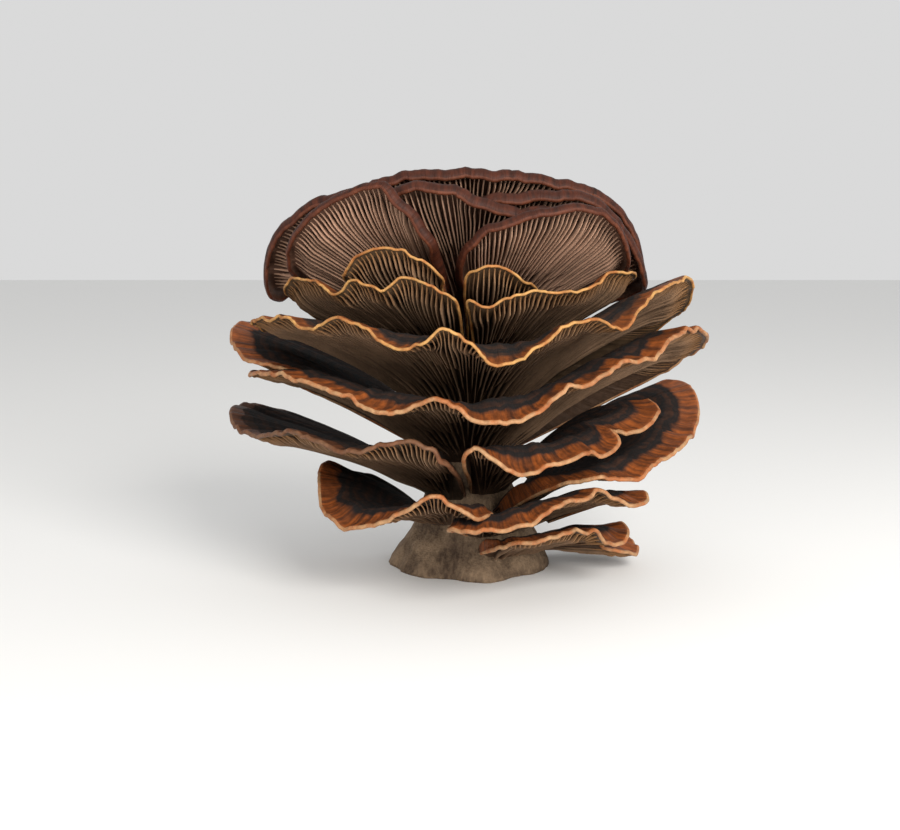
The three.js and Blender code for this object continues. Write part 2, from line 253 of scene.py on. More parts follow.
# Crinkles along the margin: length and height of each size of wave. Their spacing drifts by this share
# of a wave, over a little more than two waves. They start at this share of the way out, and grow to
# full height while the share of the margin that runs across the cap goes from the first to the second.
CRINKLES = [(0.033, 0.0006), (0.019, 0.0005), (0.0105, 0.0003), (0.0065, 0.00016)]
CRINKLE_DRIFT, CRINKLE_START, CRINKLE_ACROSS = 0.35, 0.45, (0.2, 0.8)
GILL_SPACING = 0.0026
GILL_STEPS = 20
GILL_DEPTH = 0.0038
GILL_WIDTH = 0.0009
GILL_ROOTING = 0.0004
GILL_EDGE_SHARE = 0.55
GILL_SWAY = 0.09
# No gills where the cap is shorter than this, or this near the ends of its margin. Gills get shallow,
# and then stop, where the margin runs almost along them: its share across them is between these two.
SHORTEST_GILL = 0.042
GILL_FREE_ROWS = 2
NARROWEST_FAN, FULL_FAN = 0.38, 0.85
# Every gill starts at one of these shares of the way out: only one in four runs down to the root. It
# rises to full depth over the first of the last two shares, and falls to nothing over the second.
GILL_STARTS = [0.10, 0.48, 0.26, 0.44]
GILL_END = 0.995
GILL_RISE, GILL_FALL = 0.14, 0.1


def smoothstep(low, high, value):
    t = np.clip((value - low) / (high - low), 0, 1)
    return t * t * (3 - 2 * t)


def around(azimuth, radius, height):
    """Points in space from azimuths, radii and heights."""
    angle = np.radians(azimuth)
    return np.stack([radius * np.sin(angle), -radius * np.cos(angle), height + 0 * angle], axis=-1)


def smooth_line(points, spacing):
    """Evenly spaced points on a smooth line through these points."""
    padded = np.vstack([2 * points[0] - points[1], points, 2 * points[-1] - points[-2]])
    gap = np.sqrt(np.linalg.norm(np.diff(padded, axis=0), axis=1))[:, None]
    step = np.diff(padded, axis=0) / gap
    slope = step[:-1] + step[1:] - (padded[2:] - padded[:-2]) / (gap[:-1] + gap[1:])
    t = np.linspace(0, 1, CURVE_STEPS, endpoint=False)[:, None, None]
    start, end = points[:-1], points[1:]
    out, arrive = slope[:-1] * gap[1:-1], slope[1:] * gap[1:-1]
    line = (
        (2 * t**3 - 3 * t**2 + 1) * start + (t**3 - 2 * t**2 + t) * out
        + (3 * t**2 - 2 * t**3) * end + (t**3 - t**2) * arrive
    )
    line = np.vstack([line.transpose(1, 0, 2).reshape(-1, 3), points[-1:]])
    reached = np.concatenate([[0], np.cumsum(np.linalg.norm(np.diff(line, axis=0), axis=1))])
    places = np.linspace(0, reached[-1], round(reached[-1] / spacing) + 1)
    return np.stack([np.interp(places, reached, line[:, k]) for k in range(3)], axis=1)


def running_average(values, reach):
    """Each value averaged with this many on either side, or as many as there are."""
    total = np.concatenate([[0], np.cumsum(values)])
    low = np.maximum(0, np.arange(len(values)) - reach)
    high = np.minimum(len(values), np.arange(len(values)) + reach + 1)
    return (total[high] - total[low]) / (high - low)


def unit(vectors):
    return vectors / np.maximum(np.linalg.norm(vectors, axis=-1, keepdims=True), 1e-9)


def below(surface):
    """The direction square to a surface on its gill side, evened out over a few rows."""
    square = np.cross(np.gradient(surface, axis=0), np.gradient(surface, axis=1))
    padded = np.pad(square, ((EVEN_ROWS, EVEN_ROWS), (0, 0), (0, 0)), mode="edge")
    return unit(sum(padded[k:k + len(square)] for k in range(2 * EVEN_ROWS + 1)))


def cap_surface(cap):
    """The upper side of a cap as a grid of points: margin steps by steps from root to lip."""
    margin = smooth_line(np.array([around(*point) for point in cap["margin"]]), MARGIN_SPACING)
    rows = len(margin)
    height, first, last = cap["root"]
    radius = holdfast_radius(height) * ROOT_DEPTH_SHARE
    root = around(np.linspace(first, last, rows), radius, height)
    length = np.linalg.norm(margin - root, axis=1)
    wider = (cap["curl_radius"] - PLAIN_CURL_RADIUS) * sin(radians(min(cap["curl"], 90)))
    margin -= unit(margin - root) * (LIP_INSET + wider)
    fullness = smoothstep(0.0, LEVEL_CAP, length)
    mean = running_average(margin[:, 2], round(WAVE_AVERAGE_LENGTH / MARGIN_SPACING / 2))
    body = margin[:, 2] + (mean + cap["droop"] - margin[:, 2]) * fullness
    share = np.linspace(0, 1, BODY_STEPS + 1)
    climb = share + cap["swell"] * share * (1 - share)
    droop = smoothstep(DROOP_START, 1, share)
    surface = root[:, None] + (margin - root)[:, None] * share[:, None]
    surface[..., 2] = height + (body - height)[:, None] * climb + (margin[:, 2] - body)[:, None] * droop
    # Fine crinkles, strongest at the margin, and none where the margin runs back to the root.
    across = np.linalg.norm(np.cross(unit(np.gradient(margin, axis=0)), unit(margin - root)), axis=1)
    draw = np.random.default_rng(cap["seed"])
    along = np.arange(rows) * MARGIN_SPACING
    crinkle = np.zeros(rows)
    for wave, depth in CRINKLES:
        phase, drift, slow = draw.uniform(0, 6, 3)
        bend = CRINKLE_DRIFT * np.sin(2 * pi * along / (wave * (2.2 + 0.2 * slow)) + drift)
        crinkle += depth * np.sin(2 * pi * (along / wave + bend) + phase)
    crinkle = crinkle * fullness * smoothstep(*CRINKLE_ACROSS, across) * cap["crinkle"]
    surface += below(surface) * (crinkle[:, None] * smoothstep(CRINKLE_START, 1, share))[..., None]
    # The margin turns down towards the gills, square to its own direction.
    down = below(surface)[:, -1][:, None]
    outwards = unit(np.cross(down, np.gradient(surface[:, -1], axis=0)[:, None]))
    turn = np.radians(cap["curl"]) * np.arange(1, CURL_STEPS + 1)[:, None] / CURL_STEPS
    curl = cap["curl_radius"] * (outwards * np.sin(turn) + down * (1 - np.cos(turn)))
    curl *= smoothstep(*SHORT_CAP, length)[:, None, None]
    return np.concatenate([surface, surface[:, -1:] + curl], axis=1), length


def add_skin(bm, points, uvs):
    """A tube through rows of points. Each row is a loop that ends on its first point."""
    rows, columns = points.shape[:2]
    made = bmesh.ops.create_grid(bm, x_segments=columns - 1, y_segments=rows - 1, size=1, calc_uvs=False)
    flat, flat_uvs = points.reshape(-1, 3), uvs.reshape(-1, 2)
    for vert, place in zip(made["verts"], flat.tolist()):
        vert.co = place
    layer = bm.loops.layers.uv.verify()
    order = {vert: k for k, vert in enumerate(made["verts"])}
    for face in {face for vert in made["verts"] for face in vert.link_faces}:
        for loop in face.loops:
            loop[layer].uv = flat_uvs[order[loop.vert]]


def close_skins(bm):
    """Joins each tube along its seam and closes its two ends."""
    bmesh.ops.remove_doubles(bm, verts=bm.verts, dist=SEAM_GAP)
    bmesh.ops.holes_fill(bm, edges=[edge for edge in bm.edges if edge.is_boundary], sides=0)


def cap_flesh(surface, length, lip_flesh):
    """The flesh of a cap: its upper side, a rounded lip, and its underside, as loops with their UVs.
    U is the way along the margin, and V the distance from the lip, negative on the underside. Also the
    underside itself, and the distances from the lip along it."""
    normal = below(surface)
    share = np.clip(np.arange(surface.shape[1]) / BODY_STEPS, 0, 1)
    flesh = ROOT_FLESH + (BODY_FLESH - ROOT_FLESH) * smoothstep(0, ROOT_END, share)
    flesh = flesh + (lip_flesh - flesh) * smoothstep(LIP_START, 1, share)
    flesh = flesh * (THINNEST_SHARE + (1 - THINNEST_SHARE) * smoothstep(*SHORT_CAP, length))[:, None]
    under = surface + normal * flesh[..., None]
    half = flesh[:, -1][:, None, None] / 2
    outwards = unit(surface[:, -1] - surface[:, -2])[:, None]
    turn = (np.arange(1, LIP_STEPS) / LIP_STEPS * pi)[:, None]
    middle = surface[:, -1:] + normal[:, -1:] * half
    lip = middle + half * (outwards * np.sin(turn) - normal[:, -1:] * np.cos(turn))
    loops = np.concatenate([surface, lip, under[:, ::-1], surface[:, :1]], axis=1)
    reach = np.linalg.norm(np.diff(surface, axis=1), axis=2)
    reach = np.concatenate([np.cumsum(reach[:, ::-1], axis=1)[:, ::-1], 0 * reach[:, :1]], axis=1)
    v = np.concatenate([reach, np.zeros((len(reach), LIP_STEPS - 1)), -reach[:, ::-1], -reach[:, :1]], axis=1)
    u = np.repeat(np.arange(len(surface))[:, None] * MARGIN_SPACING, v.shape[1], axis=1)
    return loops, np.stack([u, v], axis=-1), under, reach


def sample(grid, row, columns):
    """Values of a grid between two of its rows, at these columns."""
    low, part = int(row), row - int(row)
    line = grid[low] * (1 - part) + grid[low + 1] * part
    steps = np.arange(len(line))
    if line.ndim == 1:
        return np.interp(columns, steps, line)
    return np.stack([np.interp(columns, steps, line[:, axis]) for axis in range(3)], axis=1)


def gill_blades(cap, under, reach, length):
    """Blades below the flesh. U is 0 at a blade's foot and 1 at its edge, and V as on the flesh."""
    draw = np.random.default_rng(cap["seed"] + 500)
    normal = below(under)
    across = unit(np.gradient(under, axis=0))
    spacing = np.linalg.norm(np.gradient(under, axis=0), axis=2) / MARGIN_SPACING * GILL_SPACING
    last_row = len(under) - 1
    fan = np.linalg.norm(np.cross(across[:, -1], unit(under[:, BODY_STEPS] - under[:, 0])), axis=1)
    fan = np.minimum(fan, running_average(fan, EVEN_ROWS))
    for k in range(1, round(last_row * MARGIN_SPACING / GILL_SPACING)):
        row = k * GILL_SPACING / MARGIN_SPACING + draw.uniform(-0.12, 0.12)
        if not GILL_FREE_ROWS < row < last_row - GILL_FREE_ROWS:
            continue
        if length[int(row)] < SHORTEST_GILL or fan[int(row)] < NARROWEST_FAN:
            continue
        start = GILL_STARTS[k % len(GILL_STARTS)] + draw.uniform(-0.04, 0.04)
        share = np.linspace(start, GILL_END, GILL_STEPS + 1)
        columns = share * BODY_STEPS
        path, room = sample(under, row, columns), sample(spacing, row, columns)
        down, side = unit(sample(normal, row, columns)), unit(sample(across, row, columns))
        rise = smoothstep(start, start + GILL_RISE, share)
        rise = rise * (1 - smoothstep(GILL_END - GILL_FALL, GILL_END, share))
        deepest = GILL_DEPTH * draw.uniform(0.85, 1.1) * smoothstep(NARROWEST_FAN, FULL_FAN, fan[int(row)])
        depth = deepest * np.minimum(1, room / GILL_SPACING + 0.35) * rise
        width = np.minimum(GILL_WIDTH * draw.uniform(0.8, 1.15), 0.5 * room) / 2
        sway = GILL_SWAY * room * np.sin(share * draw.uniform(6, 11) + draw.uniform(0, 6)) * rise
        foot = path - down * GILL_ROOTING
        edge = path + down * depth[:, None] + side * sway[:, None]
        wide, thin = side * width[:, None], side * (GILL_EDGE_SHARE * width)[:, None]
        loop = np.stack([foot - wide, edge - thin, edge + thin, foot + wide, foot - wide], axis=1)
        v = np.repeat(-sample(reach, row, columns)[:, None], 5, axis=1)
        u = np.repeat(np.array([[0.0, 1.0, 1.0, 0.0, 0.0]]), len(v), axis=0)
        yield loop, np.stack([u, v], axis=-1)


def cap_skin_group():
    """Upper skin, lip and bare underside: dark velvet zones, a smoother band, then a pale lip, with fine
    streaks that run outwards. Reads the cap's UVs."""
    graph, given, result = new_group(
        "cap skin",
        [
            ("Velvet", COLOR, (0.05, 0.05, 0.05, 1)), ("Zone", COLOR, (0.2, 0.15, 0.1, 1)),
            ("Band", COLOR, (0.4, 0.2, 0.1, 1)), ("Lip", COLOR, (0.8, 0.6, 0.4, 1)),
            ("Flesh", COLOR, (0.2, 0.15, 0.1, 1)), ("Band width", VALUE, 0.014), ("Lip width", VALUE, 0.0012),
        ],
        SURFACE_OUTPUTS,
    )
    uv = graph.add("ShaderNodeUVMap", {}).outputs[0]
    parts = graph.add("ShaderNodeSeparateXYZ", {"Vector": uv}).outputs
    place = graph.add("ShaderNodeTexCoord", {}).outputs["Object"]
    streak_space = graph.stretch(uv, (1.0, 0.09, 1.0))
    streak = graph.noise(streak_space, 620.0, 5.0, 0.6)
    fold = graph.noise(streak_space, 190.0, 3.0)
    wobble = graph.math("MULTIPLY", graph.math("SUBTRACT", graph.noise(place, 75.0, 5.0), 0.5), 0.014)
    reach = graph.math("ADD", parts[1], wobble)
    ring = graph.ramp(graph.math("SINE", graph.math("MULTIPLY", reach, 900.0)), -0.6, 0.9, 0.0, 0.7)
    fine_ring = graph.ramp(graph.math("SINE", graph.math("MULTIPLY", reach, 2600.0)), -1.0, 1.0, 0.0, 0.3)
    velvet = graph.mix(graph.math("ADD", ring, fine_ring), given["Velvet"], given["Zone"])
    band_end = graph.math("MULTIPLY", given["Band width"], 1.5)
    into_velvet = graph.ramp(reach, given["Band width"], band_end)
    band = graph.mix(graph.ramp(streak, 0.38, 0.72, 0.0, 0.75), given["Band"], given["Zone"])
    upper = graph.mix(into_velvet, band, velvet)
    # In the troughs of the fold relief the skin darkens towards the velvet colour: partly its own dark
    # streaks, partly painted shade in the creases.
    upper = graph.mix(graph.ramp(fold, 0.3, 0.62, 0.75, 0.0), upper, given["Velvet"])
    distance = graph.math("ABSOLUTE", parts[1])
    lip_noise = graph.math("MULTIPLY", graph.noise(place, 260.0, 3.0), given["Lip width"])
    lip_end = graph.math("ADD", given["Lip width"], lip_noise)
    off_lip = graph.ramp(distance, given["Lip width"], lip_end)
    side = graph.ramp(parts[1], -0.0002, 0.0002)
    aged = graph.ramp(graph.noise(place, 105.0, 4.0, 0.6), 0.36, 0.66, 0.0, 0.8)
    lip = graph.mix(aged, given["Lip"], given["Band"])
    color = graph.mix(off_lip, lip, graph.mix(side, given["Flesh"], upper))
    mottle = graph.ramp(graph.noise(place, 330.0, 4.0), 0.3, 0.7, 0.75, 1.12)
    roughness = graph.ramp(into_velvet, 0.0, 1.0, 0.55, 0.92)
    height = graph.math("ADD", graph.math("MULTIPLY", fold, 0.8), graph.math("MULTIPLY", streak, 0.5))
    graph.put_out(result, graph.shade(color, mottle), roughness, height)
    return graph.tree


def gill_group():
    """Gills: painted shade at the foot, lighter along the blade's edge, warmer near the margin. Reads the
    UVs.
    """
    graph, given, result = new_group(
        "gill",
        [
            ("Edge", COLOR, (0.4, 0.3, 0.2, 1)), ("Foot", COLOR, (0.1, 0.07, 0.05, 1)),
            ("Rim", COLOR, (0.6, 0.4, 0.25, 1)), ("Rim width", VALUE, 0.012),
        ],
        SURFACE_OUTPUTS,
    )
    uv = graph.add("ShaderNodeUVMap", {}).outputs[0]
    parts = graph.add("ShaderNodeSeparateXYZ", {"Vector": uv}).outputs
    place = graph.add("ShaderNodeTexCoord", {}).outputs["Object"]
    patch = graph.noise(place, 60.0, 3.0)
    grain = graph.noise(place, 900.0, 4.0)
    near = graph.math("DIVIDE", graph.math("ABSOLUTE", parts[1]), given["Rim width"])
    to_inside = graph.ramp(graph.math("ADD", near, graph.math("MULTIPLY", patch, 0.5)), 0.25, 1.5)
    edge = graph.mix(to_inside, given["Rim"], given["Edge"])
    # Painted shade: each blade darkens towards its foot, down in the gaps between the blades.
    color = graph.mix(graph.ramp(parts[0], 0.1, 0.95), given["Foot"], edge)
    tone = graph.ramp(graph.math("ADD", patch, graph.math("MULTIPLY", grain, 0.5)), 0.5, 1.0, 0.72, 1.15)
    graph.put_out(result, graph.shade(color, tone), graph.ramp(grain, 0.3, 0.7, 0.7, 0.9), grain)
    return graph.tree


CAP_SKIN, GILL = cap_skin_group(), gill_group()
tier_skin = new_material(
    "tier skin", CAP_SKIN, 0.0009,
    velvet=(0.012, 0.011, 0.011, 1), zone=(0.045, 0.020, 0.012, 1), band=(0.31, 0.082, 0.018, 1),
    lip=(0.40, 0.225, 0.11, 1), flesh=(0.075, 0.042, 0.025, 1), band_width=0.0080, lip_width=0.0005,
)
# The foot colour is painted shade for the gaps between the gills.
tier_gills = new_material(
    "tier gills", GILL, 0.0002,
    edge=(0.24, 0.146, 0.086, 1), foot=(0.015, 0.008, 0.005, 1), rim=(0.28, 0.135, 0.05, 1), rim_width=0.012,
)


def grow_cap(name, root, margin, swell, curl, seed, curl_radius=PLAIN_CURL_RADIUS, droop=0.0, crinkle=1.0,
             lip=PLAIN_LIP, skin=tier_skin, gills=tier_gills, slot="tier_cap"):
    """Makes one cap, flesh and gills. root is its height and the azimuths of its two ends on the holdfast,
    and margin its outer edge as azimuth, radius and height. Its body bows up by swell, stands above the
    margin by droop, and its edge turns towards the gills by curl degrees. lip is its thickness there."""
    cap = dict(root=root, margin=margin, swell=swell, curl=curl, curl_radius=curl_radius, droop=droop,
               crinkle=crinkle, seed=seed)
    surface, length = cap_surface(cap)
    loops, uvs, under, reach = cap_flesh(surface, length, lip)
    bm = bmesh.new()
    add_skin(bm, loops, uvs)
    close_skins(bm)
    flesh = new_object(name + "_flesh", bm, [skin])
    bm = bmesh.new()
    for blade, blade_uvs in gill_blades(cap, under, reach, length):
        add_skin(bm, blade, blade_uvs)
    close_skins(bm)
    blades = new_object(name + "_gills", bm, [gills], smooth=False)
    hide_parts(name)
    for piece in (flesh, blades):
        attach(piece, "root")


grow_cap(
    "foot_lobe", root=(0.009, 84, 100), swell=0.2, curl=20, droop=0.002, seed=11,
    margin=[
        (78, 0.052, 0.012), (72, 0.066, 0.013), (70, 0.078, 0.013), (75, 0.086, 0.010),
        (82, 0.088, 0.009), (90, 0.086, 0.011), (98, 0.078, 0.014), (104, 0.066, 0.014),
        (107, 0.052, 0.012),
    ],
)

grow_cap(
    "tier_6_right", root=(0.008, 8, 66), swell=0.3, curl=30, droop=0.004, seed=12,
    margin=[
        (5, 0.052, 0.018), (7, 0.072, 0.026), (11, 0.085, 0.031), (17, 0.091, 0.033),
        (24, 0.092, 0.035), (31, 0.092, 0.037), (39, 0.092, 0.034), (45, 0.092, 0.028),
        (50, 0.093, 0.025), (55, 0.092, 0.028), (60, 0.085, 0.031), (65, 0.070, 0.025),
        (70, 0.052, 0.016),
    ],
)

grow_cap(
    "tier_6_left", root=(0.024, -94, 4), swell=0.5, curl=35, droop=0.003, seed=13,
    margin=[
        (-94, 0.040, 0.031), (-88, 0.054, 0.043), (-78, 0.068, 0.053), (-67, 0.078, 0.058),
        (-57, 0.086, 0.055), (-50, 0.092, 0.048), (-43, 0.098, 0.043), (-34, 0.102, 0.040),
        (-26, 0.102, 0.043), (-18, 0.102, 0.050), (-9, 0.102, 0.058), (-4, 0.102, 0.054),
        (1, 0.101, 0.049), (5, 0.088, 0.047), (5, 0.064, 0.042), (2, 0.040, 0.031),
    ],
)

# ---------------------------------------------------------------------------------------------------
# Fifth tier: two caps on the right, one low at the front and one that climbs round the side. They spread
# flatter than the others, so much of their rust upper side shows.
# ---------------------------------------------------------------------------------------------------
grow_cap(
    "tier_5_front", root=(0.018, -5, 62), swell=0.45, curl=35, droop=0.005, seed=21,
    margin=[
        (-3, 0.046, 0.025), (-6, 0.072, 0.035), (-6, 0.096, 0.042), (-2, 0.105, 0.044),
        (4, 0.108, 0.045), (12, 0.108, 0.046), (17, 0.108, 0.050), (22, 0.107, 0.055),
        (28, 0.105, 0.055), (33, 0.103, 0.057), (38, 0.104, 0.054), (43, 0.106, 0.049),
        (48, 0.107, 0.048), (52, 0.103, 0.051), (56, 0.088, 0.047), (60, 0.066, 0.037),
        (63, 0.046, 0.026),
    ],
)

grow_cap(
    "tier_5_right", root=(0.026, 26, 106), swell=0.5, curl=35, droop=0.007, seed=22,
    margin=[
        (24, 0.040, 0.033), (25, 0.064, 0.048), (29, 0.088, 0.059), (35, 0.101, 0.063),
        (41, 0.107, 0.062), (46, 0.109, 0.063), (50, 0.109, 0.067), (57, 0.110, 0.068),
        (63, 0.112, 0.071), (70, 0.113, 0.073), (77, 0.114, 0.076), (84, 0.116, 0.081),
        (91, 0.116, 0.088), (98, 0.112, 0.094), (103, 0.096, 0.088), (107, 0.066, 0.062),
        (109, 0.040, 0.035),
    ],
)

# ---------------------------------------------------------------------------------------------------
# Fourth tier: a wide cap on the left and a smaller one on the right that meet at the front. Thin and
# leathery, rust above on the right, with long grey-brown gills. The left cap's darker band and lip are
# painted shade.
# ---------------------------------------------------------------------------------------------------
# Painted shade: a copy of the tier skin with a darker, narrower band and a darker lip, for the left cap.
shaded_skin = new_material(
    "painted shade skin", CAP_SKIN, 0.0009,
    velvet=(0.012, 0.011, 0.011, 1), zone=(0.045, 0.022, 0.014, 1), band=(0.13, 0.045, 0.018, 1),
    lip=(0.17, 0.085, 0.045, 1), flesh=(0.075, 0.05, 0.033, 1), band_width=0.005, lip_width=0.0006,
)

grow_cap(
    "tier_4_left", root=(0.036, -104, -6), swell=0.55, curl=35, skin=shaded_skin, seed=31,
    margin=[
        (-108, 0.032, 0.042), (-105, 0.064, 0.062), (-99, 0.098, 0.077), (-92, 0.117, 0.083),
        (-84, 0.121, 0.082), (-74, 0.119, 0.078), (-62, 0.114, 0.077), (-52, 0.112, 0.081),
        (-43, 0.112, 0.083), (-34, 0.112, 0.078), (-28, 0.112, 0.078), (-21, 0.112, 0.082),
        (-12, 0.112, 0.083), (-7, 0.110, 0.076), (-5, 0.090, 0.067), (-4, 0.060, 0.055),
        (-4, 0.032, 0.041),
    ],
)

grow_cap(
    "tier_4_right", root=(0.038, -1, 76), swell=0.6, curl=35, droop=0.008, seed=32,
    margin=[
        (0, 0.032, 0.043), (-2, 0.062, 0.057), (-3, 0.092, 0.070), (-2, 0.105, 0.077),
        (1, 0.107, 0.080), (5, 0.107, 0.075), (11, 0.107, 0.070), (19, 0.107, 0.072),
        (27, 0.107, 0.076), (34, 0.107, 0.075), (38, 0.105, 0.079), (40, 0.097, 0.083),
        (45, 0.103, 0.082), (51, 0.106, 0.085), (57, 0.104, 0.090), (62, 0.092, 0.091),
        (68, 0.066, 0.077), (75, 0.032, 0.046),
    ],
)

# ---------------------------------------------------------------------------------------------------
# Third tier: the widest cap, one leathery sheet from the left side round the front to the right side,
# rooted halfway up the holdfast. Its wavy margin shows a rust band and a paler lip.
# ---------------------------------------------------------------------------------------------------
grow_cap(
    "tier_3", root=(0.055, -100, 106), swell=0.55, curl=35, droop=0.006, seed=41,
    margin=[
        (-106, 0.028, 0.059), (-100, 0.062, 0.080), (-91, 0.094, 0.096), (-80, 0.108, 0.102),
        (-70, 0.113, 0.104), (-59, 0.114, 0.108), (-43, 0.114, 0.108), (-35, 0.114, 0.105),
        (-28, 0.114, 0.103), (-22, 0.114, 0.097), (-16, 0.114, 0.097), (-9, 0.114, 0.103),
        (-3, 0.114, 0.099), (3, 0.114, 0.093), (10, 0.114, 0.093), (16, 0.114, 0.100),
        (21, 0.114, 0.108), (26, 0.114, 0.108), (31, 0.114, 0.114), (40, 0.114, 0.117),
        (46, 0.114, 0.118), (51, 0.114, 0.124), (58, 0.114, 0.127), (66, 0.115, 0.127),
        (74, 0.118, 0.124), (82, 0.118, 0.118), (90, 0.113, 0.110), (97, 0.098, 0.098),
        (103, 0.066, 0.080), (109, 0.028, 0.059),
    ],
)

# ---------------------------------------------------------------------------------------------------
# Second tier: a wide cap with a deep dip at the front and an amber lip, and below it at the left a small
# tongue that grows from the holdfast on its own and shows its rust upper side.
# ---------------------------------------------------------------------------------------------------
grow_cap(
    "side_lobe_left", root=(0.064, -106, -62), swell=0.55, curl=30, droop=0.002, seed=51,
    margin=[
        (-112, 0.026, 0.070), (-110, 0.060, 0.094), (-104, 0.098, 0.115), (-97, 0.116, 0.125),
        (-89, 0.120, 0.123), (-81, 0.119, 0.117), (-73, 0.114, 0.112), (-66, 0.104, 0.109),
        (-61, 0.084, 0.101), (-58, 0.056, 0.087), (-57, 0.026, 0.068),
    ],
)

amber_skin = new_material(
    "amber skin", CAP_SKIN, 0.0009,
    velvet=(0.012, 0.011, 0.011, 1), zone=(0.055, 0.025, 0.014, 1), band=(0.27, 0.075, 0.018, 1),
    lip=(0.50, 0.27, 0.09, 1), flesh=(0.09, 0.055, 0.03, 1), band_width=0.006, lip_width=0.0003,
)

grow_cap(
    "tier_2", root=(0.073, -94, 104), swell=0.55, curl=30, droop=0.004, lip=0.0013, skin=amber_skin, seed=52,
    margin=[
        (-102, 0.026, 0.082), (-96, 0.060, 0.107), (-86, 0.092, 0.120), (-76, 0.108, 0.127),
        (-68, 0.112, 0.130), (-60, 0.112, 0.132), (-48, 0.112, 0.134), (-40, 0.112, 0.130),
        (-31, 0.112, 0.137), (-24, 0.112, 0.131), (-17, 0.112, 0.124), (-12, 0.112, 0.125),
        (-7, 0.112, 0.133), (-1, 0.112, 0.126), (5, 0.112, 0.117), (10, 0.112, 0.120),
        (17, 0.112, 0.129), (25, 0.112, 0.135), (31, 0.112, 0.134), (36, 0.112, 0.131),
        (42, 0.112, 0.140), (52, 0.112, 0.148), (62, 0.112, 0.151), (70, 0.112, 0.148),
        (79, 0.109, 0.138), (88, 0.098, 0.125), (97, 0.068, 0.105), (105, 0.026, 0.078),
    ],
)

# ---------------------------------------------------------------------------------------------------
# First tier: two caps that grow from the upper holdfast and meet at the front. Leathery, with thin amber
# lips, and long straight gills below.
# ---------------------------------------------------------------------------------------------------
grow_cap(
    "tier_1_left", root=(0.092, -86, -2), swell=0.35, curl=25, lip=0.0012, skin=amber_skin, seed=61,
    margin=[
        (-88, 0.024, 0.095), (-84, 0.058, 0.116), (-77, 0.084, 0.134), (-68, 0.096, 0.143),
        (-59, 0.098, 0.150), (-48, 0.098, 0.150), (-39, 0.098, 0.145), (-33, 0.098, 0.151),
        (-24, 0.098, 0.147), (-18, 0.098, 0.152), (-11, 0.098, 0.150), (-6, 0.098, 0.146),
        (-4, 0.092, 0.140), (-3, 0.064, 0.122), (-2, 0.024, 0.095),
    ],
)

grow_cap(
    "tier_1_right", root=(0.093, 2, 72), swell=0.35, curl=25, lip=0.0012, skin=amber_skin, seed=62,
    margin=[
        (2, 0.024, 0.097), (0, 0.060, 0.120), (-1, 0.088, 0.139), (0, 0.097, 0.143), (4, 0.098, 0.141),
        (9, 0.098, 0.145), (18, 0.098, 0.147), (27, 0.098, 0.146), (33, 0.098, 0.149),
        (37, 0.098, 0.153), (45, 0.098, 0.154), (51, 0.096, 0.153), (57, 0.088, 0.149),
        (63, 0.070, 0.138), (69, 0.044, 0.119), (74, 0.022, 0.099),
    ],
)

# ---------------------------------------------------------------------------------------------------
# Lobes: two small upright caps that grow from the holdfast in front of the ears, with thin amber lips and
# fine gills.
# ---------------------------------------------------------------------------------------------------
grow_cap(
    "lobe_left", root=(0.102, -48, -16), swell=0.45, curl=30, lip=0.0012, skin=amber_skin, seed=71,
    margin=[
        (-52, 0.024, 0.111), (-48, 0.054, 0.134), (-44, 0.082, 0.150), (-39, 0.091, 0.154),
        (-34, 0.093, 0.161), (-28, 0.092, 0.165), (-22, 0.090, 0.165), (-16, 0.088, 0.160),
        (-10, 0.084, 0.154), (-10, 0.070, 0.145), (-13, 0.048, 0.128), (-16, 0.024, 0.108),
    ],
)

grow_cap(
    "lobe_right", root=(0.102, -4, 30), swell=0.5, curl=30, lip=0.0012, skin=amber_skin, seed=72,
    margin=[
        (-4, 0.024, 0.108), (-3, 0.052, 0.130), (-3, 0.074, 0.146), (-1, 0.083, 0.154),
        (4, 0.087, 0.157), (9, 0.086, 0.156), (14, 0.084, 0.153), (19, 0.081, 0.149),
        (24, 0.070, 0.144), (28, 0.048, 0.130), (31, 0.024, 0.110),
    ],
)

# ---------------------------------------------------------------------------------------------------
# Ears: two round upright caps that face forwards. Their gills are pinkish taupe, and their red-brown
# margins roll forwards over them like a hem.
# ---------------------------------------------------------------------------------------------------
crown_skin = new_material(
    "crown skin", CAP_SKIN, 0.0012,
    velvet=(0.012, 0.004, 0.0025, 1), zone=(0.036, 0.010, 0.005, 1), band=(0.070, 0.017, 0.007, 1),
    lip=(0.11, 0.031, 0.013, 1), flesh=(0.10, 0.05, 0.032, 1), band_width=0.02, lip_width=0.0004,
)
# The foot colour is painted shade for the gaps between the gills.
crown_gills = new_material(
    "crown gills", GILL, 0.0002,
    edge=(0.43, 0.255, 0.17, 1), foot=(0.025, 0.011, 0.006, 1), rim=(0.20, 0.09, 0.052, 1), rim_width=0.008,
)
crown_look = dict(skin=crown_skin, gills=crown_gills, slot="crown_cap")
ear_roll = dict(curl=115, crinkle=0.7, **crown_look)

grow_cap(
    "ear_right", root=(0.111, -7, 78), swell=0.35, seed=81, **ear_roll,
    margin=[
        (-6, 0.024, 0.118), (-7, 0.044, 0.140), (-7, 0.060, 0.154), (-4, 0.068, 0.163),
        (2, 0.074, 0.172), (10, 0.078, 0.177), (21, 0.083, 0.182), (32, 0.087, 0.184),
        (41, 0.089, 0.181), (49, 0.089, 0.173), (57, 0.086, 0.162), (64, 0.077, 0.152),
        (71, 0.054, 0.137), (78, 0.024, 0.115),
    ],
)

